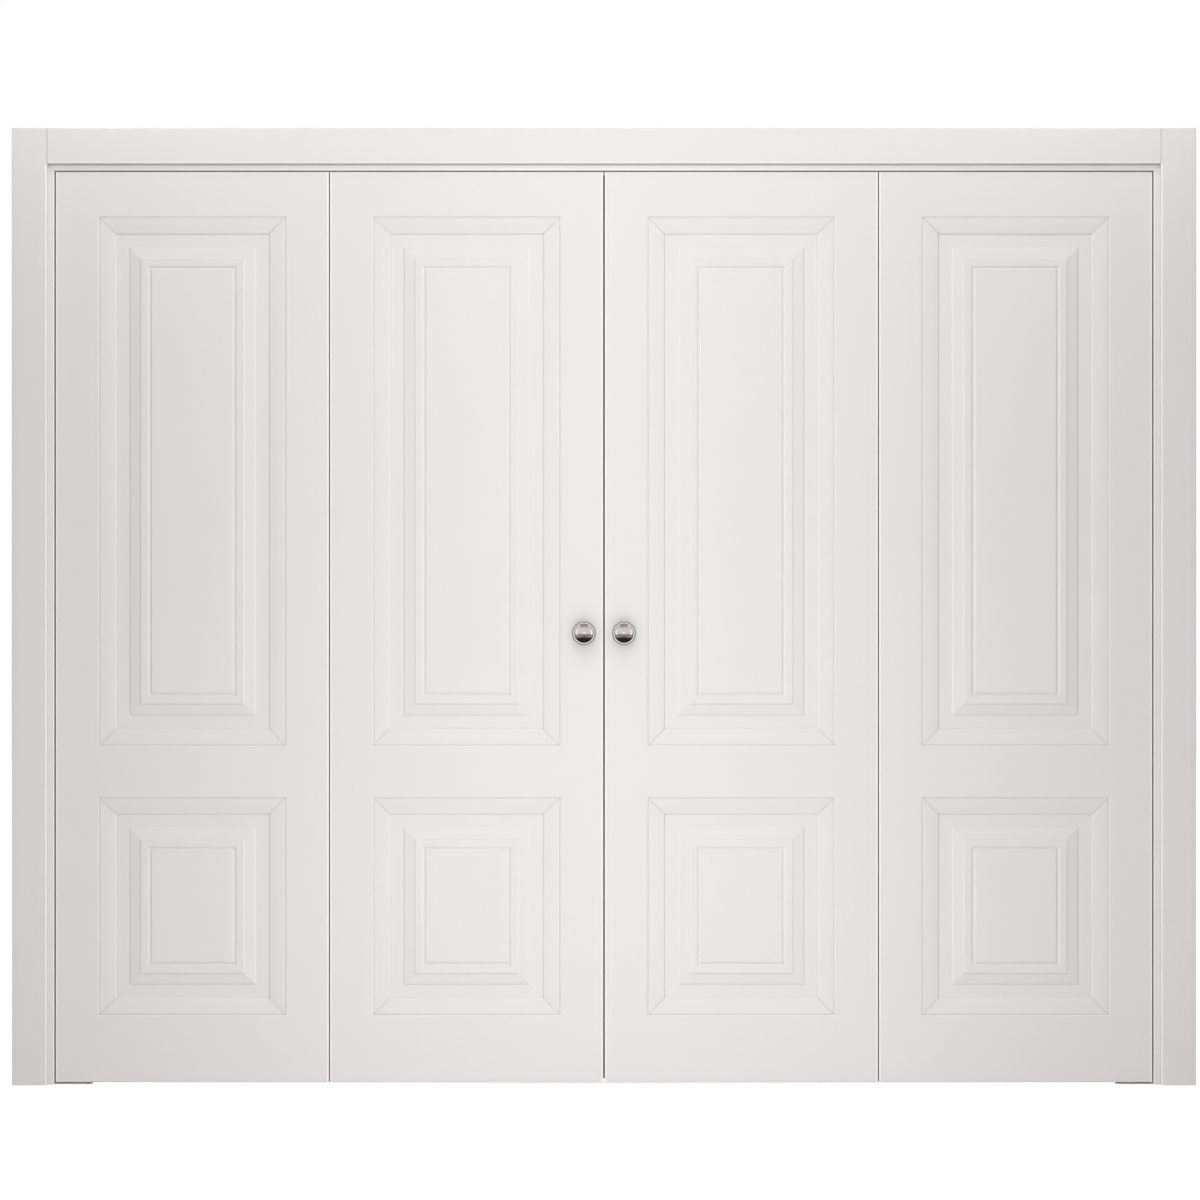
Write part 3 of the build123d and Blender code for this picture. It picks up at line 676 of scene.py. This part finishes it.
screws("track_screws", "frame", "pivot_steel",
       [(x, LEAF_MID_Y, TRACK_ROOF_Z) for x in TRACK_SCREW_X], (0, 0, -1), 17, screw_steel,
       Head_radius=0.0040, Head_height=0.0014)


# Dark strips in the centre gap: painted shade

def gap_shade_material(name):
    """A dark, faintly speckled and rough finish, standing in as painted shade for the dark of the
    centre gap.
    """
    made, graph = material(name)
    speckle = graph.noise(2400.0, 2.0, 0.7, (1, 1, 0.3))
    surface(graph, Base_Color=graph.mix(speckle, (0.020, 0.019, 0.019, 1), (0.060, 0.057, 0.056, 1)),
            Roughness=0.85 + 0.1 * speckle, Normal=graph.bump(speckle, 0.0002, 0.6))
    return made


def place_gap_shade(name, side, finish):
    """A dark strip in the meeting edge of one pull leaf: painted shade that darkens the centre gap
    between the closed doors.
    """
    xs = sorted((side * GAP_SHADE_OUT_X, side * GAP_SHADE_IN_X))
    corners = [(x, y, z) for x in xs for y in GAP_SHADE_Y for z in GAP_SHADE_Z]
    faces = [(0, 1, 3, 2), (4, 6, 7, 5), (0, 4, 5, 1), (2, 3, 7, 6), (0, 2, 6, 4), (1, 5, 7, 3)]
    mesh = bpy.data.meshes.new(f"centre_gap_shade_{name}")
    mesh.from_pydata(corners, [], faces)
    mesh.materials.append(finish)
    piece = bpy.data.objects.new(f"centre_gap_shade_{name}", mesh)
    bpy.context.scene.collection.objects.link(piece)
    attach(piece, f"pull_leaf_{name}")


gap_shade_finish = gap_shade_material("centre_gap_shade")
# Dark strips in the centre gap, painted shade
for name, side in SIDES.items():
    place_gap_shade(name, side, gap_shade_finish)


# Studio

def sheet_mesh(name, corners):
    """A flat four-cornered piece of the studio."""
    mesh = bpy.data.meshes.new(name)
    mesh.from_pydata(corners, [], [tuple(range(len(corners)))])
    piece = bpy.data.objects.new(name, mesh)
    bpy.context.scene.collection.objects.link(piece)
    return piece


def floor_finish():
    """A pale studio floor, white to the camera outside the object's shadow."""
    made, graph = material("studio_floor")
    rays = graph.node("ShaderNodeLightPath")
    grain = graph.noise(30.0, 2.0, 0.5)
    matte = graph.node("ShaderNodeBsdfDiffuse", None,
                       {"Color": graph.mix(grain, (0.78, 0.77, 0.77, 1), (0.80, 0.79, 0.79, 1))})
    glow = graph.node("ShaderNodeEmission", None, {"Color": (1, 1, 1, 1), "Strength": FLOOR_GLOW})
    away = Value(graph, graph.node("ShaderNodeVectorMath", {"operation": "LENGTH"},
                                   {0: graph.place()}).outputs["Value"])
    share = (FLOOR_GLOW_NEAR + FLOOR_GLOW_RISE * away).at_most(1.0)
    factor = Value(graph, rays.outputs["Is Camera Ray"]) * share
    both = graph.node("ShaderNodeMixShader", None,
                      {0: factor, 1: matte.outputs[0], 2: glow.outputs[0]})
    graph.node("ShaderNodeOutputMaterial", None, {"Surface": both.outputs[0]})
    return made


def card_finish(name, colour):
    """A plain card that only mirror reflections see."""
    made, graph = material(name)
    shade = graph.noise(1.5, 2.0, 0.5)
    dim = tuple(0.8 * c for c in colour[:3]) + (1,)
    glow = graph.node("ShaderNodeEmission", None,
                      {"Color": graph.mix(shade, dim, colour), "Strength": 1.0})
    graph.node("ShaderNodeOutputMaterial", None, {"Surface": glow.outputs[0]})
    return made


def studio_card(name, corners, colour):
    """A card that the knobs mirror, and nothing else sees."""
    card = sheet_mesh(name, corners)
    card.data.materials.append(card_finish(name + "_finish", colour))
    card.visible_camera = False
    card.visible_diffuse = False
    card.visible_shadow = False
    card.visible_transmission = False
    card.visible_volume_scatter = False


def floor():
    ground = sheet_mesh("studio_floor", [(-FLOOR_HALF, -FLOOR_HALF, FLOOR_Z),
                                         (FLOOR_HALF, -FLOOR_HALF, FLOOR_Z),
                                         (FLOOR_HALF, FLOOR_HALF, FLOOR_Z),
                                         (-FLOOR_HALF, FLOOR_HALF, FLOOR_Z)])
    ground.data.materials.append(floor_finish())


def surroundings(colour, strength, mirror_strength):
    """Even light from all round, brighter in mirrors, and white where the camera looks past
    the object."""
    world = bpy.data.worlds.new("studio")
    bpy.context.scene.world = world
    world.use_nodes = True
    graph = Graph(world.node_tree)
    rays = graph.node("ShaderNodeLightPath")
    even = graph.node("ShaderNodeBackground", None, {"Color": colour, "Strength": strength})
    white = graph.node("ShaderNodeBackground", None, {"Color": (1, 1, 1, 1), "Strength": 1.0})
    mirrored = graph.node("ShaderNodeBackground", None,
                          {"Color": colour, "Strength": mirror_strength})
    seen = graph.node("ShaderNodeMixShader", None,
                      {0: rays.outputs["Is Glossy Ray"], 1: even.outputs[0],
                       2: mirrored.outputs[0]})
    both = graph.node("ShaderNodeMixShader", None,
                      {0: rays.outputs["Is Camera Ray"], 1: seen.outputs[0], 2: white.outputs[0]})
    graph.node("ShaderNodeOutputWorld", None, {"Surface": both.outputs[0]})


def soft_light(name, place, target, width, height, watts, colour):
    """One rectangular light that shows in no reflection."""
    lamp = bpy.data.lights.new(name, "AREA")
    lamp.shape = "RECTANGLE"
    lamp.size = width
    lamp.size_y = height
    lamp.energy = watts
    lamp.color = colour
    holder = bpy.data.objects.new(name, lamp)
    bpy.context.scene.collection.objects.link(holder)
    holder.location = place
    aim = Vector(target) - Vector(place)
    holder.rotation_euler = aim.to_track_quat("-Z", "Y").to_euler()
    holder.visible_camera = False
    holder.visible_glossy = False


def on_side(place, side):
    """The same point on the given side."""
    return (side * place[0], place[1], place[2])


def camera():
    """Straight at the door, as the photograph's camera."""
    lens = bpy.data.cameras.new("camera")
    lens.sensor_width = SENSOR_WIDTH
    lens.lens = SENSOR_WIDTH * EYE_DISTANCE / FRAME_WIDTH
    lens.clip_end = 100.0
    eye = bpy.data.objects.new("camera", lens)
    bpy.context.scene.collection.objects.link(eye)
    eye.location = EYE
    eye.rotation_euler = (math.radians(90), 0, 0)
    bpy.context.scene.camera = eye


bpy.context.scene.view_settings.view_transform = "Standard"
floor()
surroundings(ROOM_COLOUR, ROOM_STRENGTH, ROOM_MIRROR_STRENGTH)
for name, facts in LIGHTS.items():
    soft_light(name, *facts)
for name, side in SIDES.items():
    for light, (place, target, *facts) in PAIRED_LIGHTS.items():
        soft_light(f"{light}_{name}", on_side(place, side), on_side(target, side), *facts)
soft_light("back_light", *BACK_LIGHT)
for name, (corners, colour) in CARDS.items():
    studio_card(name, corners, colour)
for card, (corners, colour) in PAIRED_CARDS.items():
    for name, side in SIDES.items():
        studio_card(f"{card}_{name}", [on_side(corner, side) for corner in corners], colour)
camera()
